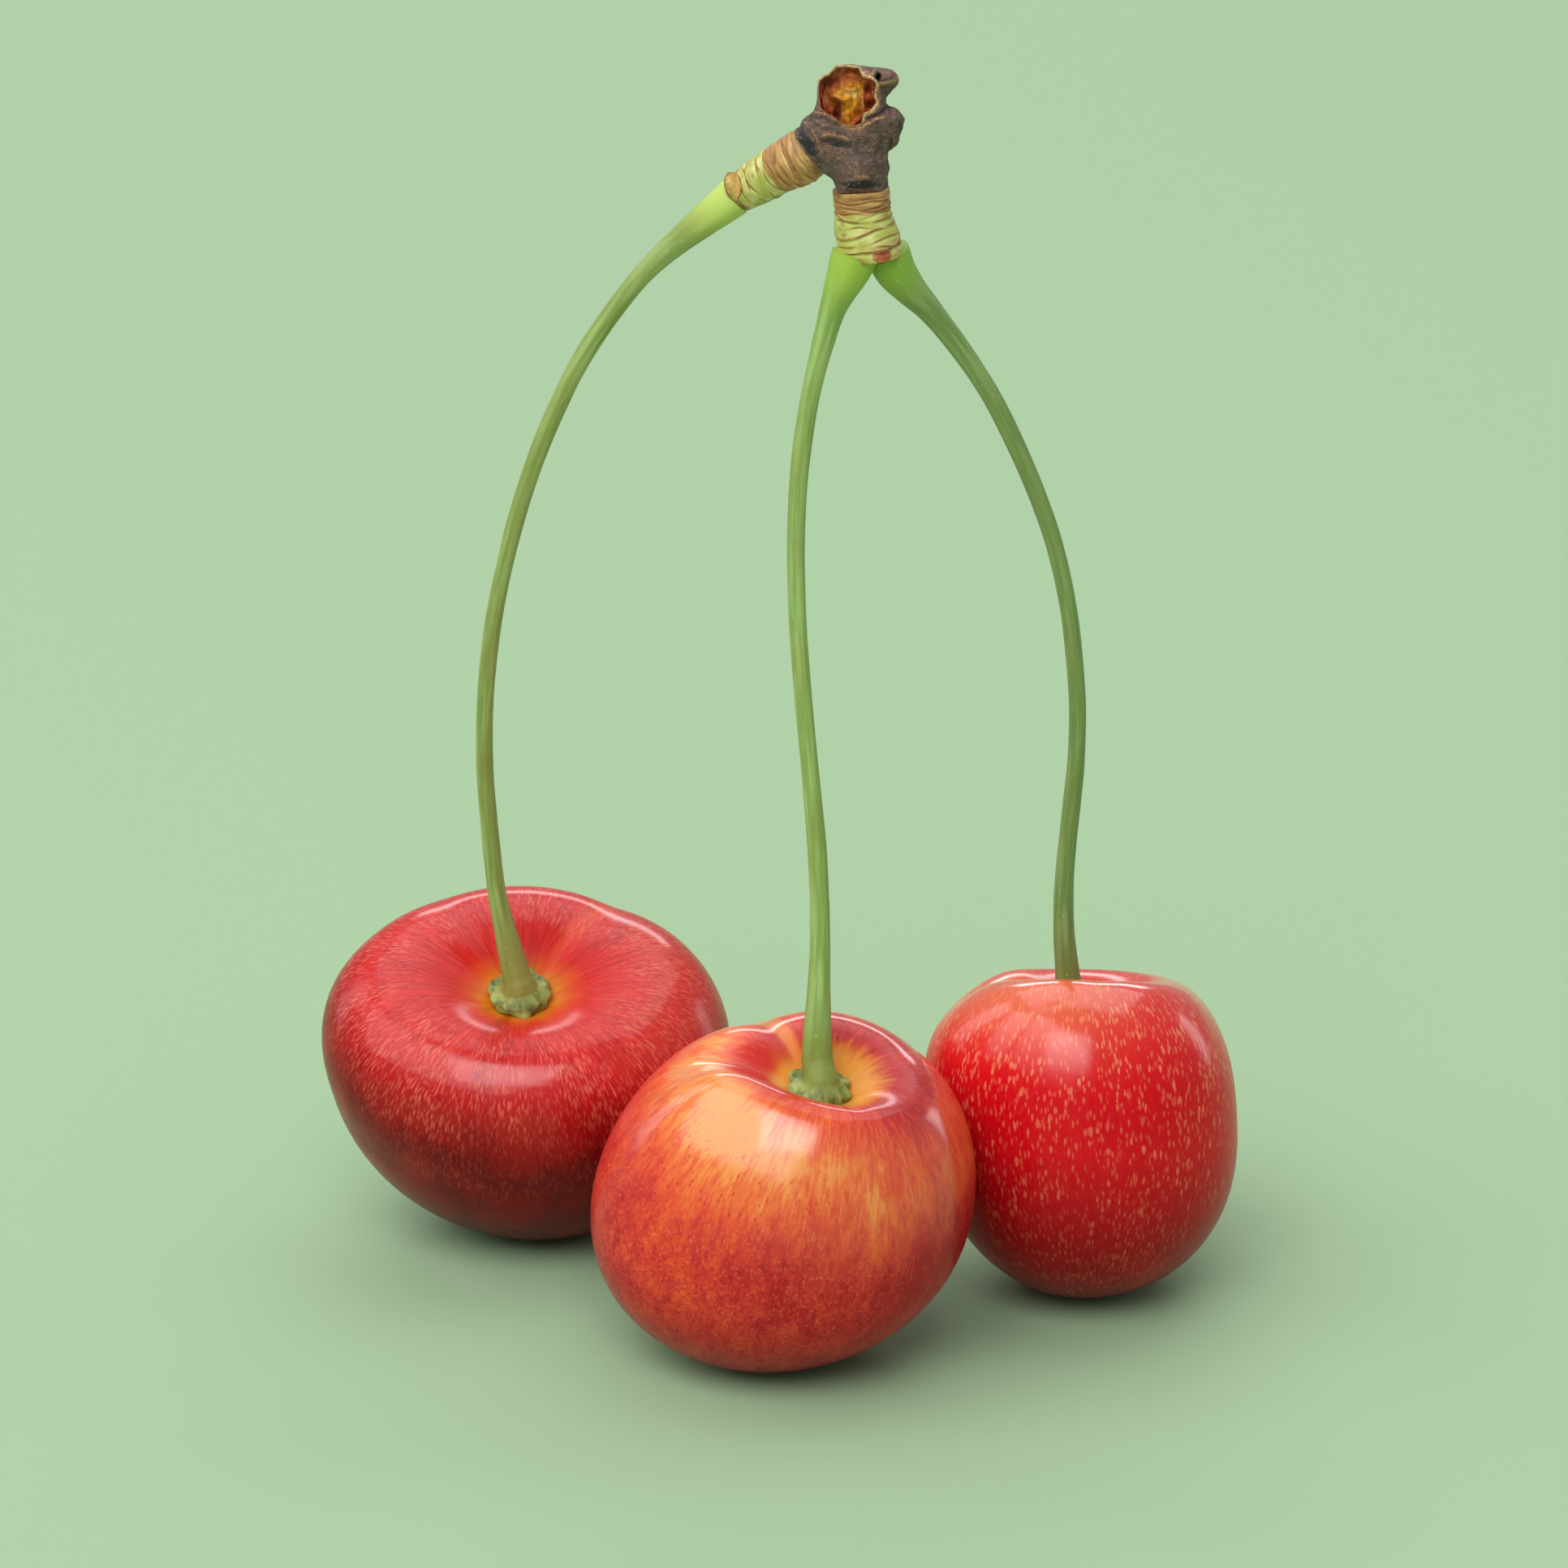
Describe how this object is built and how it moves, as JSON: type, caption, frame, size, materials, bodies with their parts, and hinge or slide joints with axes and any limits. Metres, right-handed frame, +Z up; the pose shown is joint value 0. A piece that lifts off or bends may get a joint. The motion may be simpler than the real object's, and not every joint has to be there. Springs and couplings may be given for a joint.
{
  "type": "cherries on stalks",
  "caption": "Fresh cherries on long green stalks that arch up to one short woody spur; the bunch stands on its own fruits.",
  "frame": {"origin": "centre of the bunch's box, on the surface the fruits rest on", "axes": "+Z up along the stalks to the spur, +X to the right as seen from the front, +Y to the back"},
  "size_m": [0.0578, 0.0412, 0.0795],
  "materials": {
    "skin_dark_red": "glossy taut fruit skin, deep red with fine pale radial streaks, orange in the stalk cavity",
    "skin_blush": "glossy taut fruit skin, yellow-orange mottled with a red blush and small red dots",
    "skin_bright_red": "glossy taut fruit skin, bright red with short pale vertical flecks",
    "stalk_green": "satin green stalk with tiny pale specks, lime at the top and olive at the receptacle",
    "shoot_bark": "matte young bark, green and tan bands with brown ring scars",
    "spur_bark": "rough dark bark with a torn face of amber wood and gum"
  },
  "bodies": {
    "root": {"cherry_left": "skin_dark_red", "cherry_front": "skin_blush", "cherry_right": "skin_bright_red", "stalk_left": "stalk_green", "stalk_front": "stalk_green", "stalk_right": "stalk_green", "shoot_left": "shoot_bark", "shoot_right": "shoot_bark", "spur": "spur_bark"}
  },
  "joints": []
}
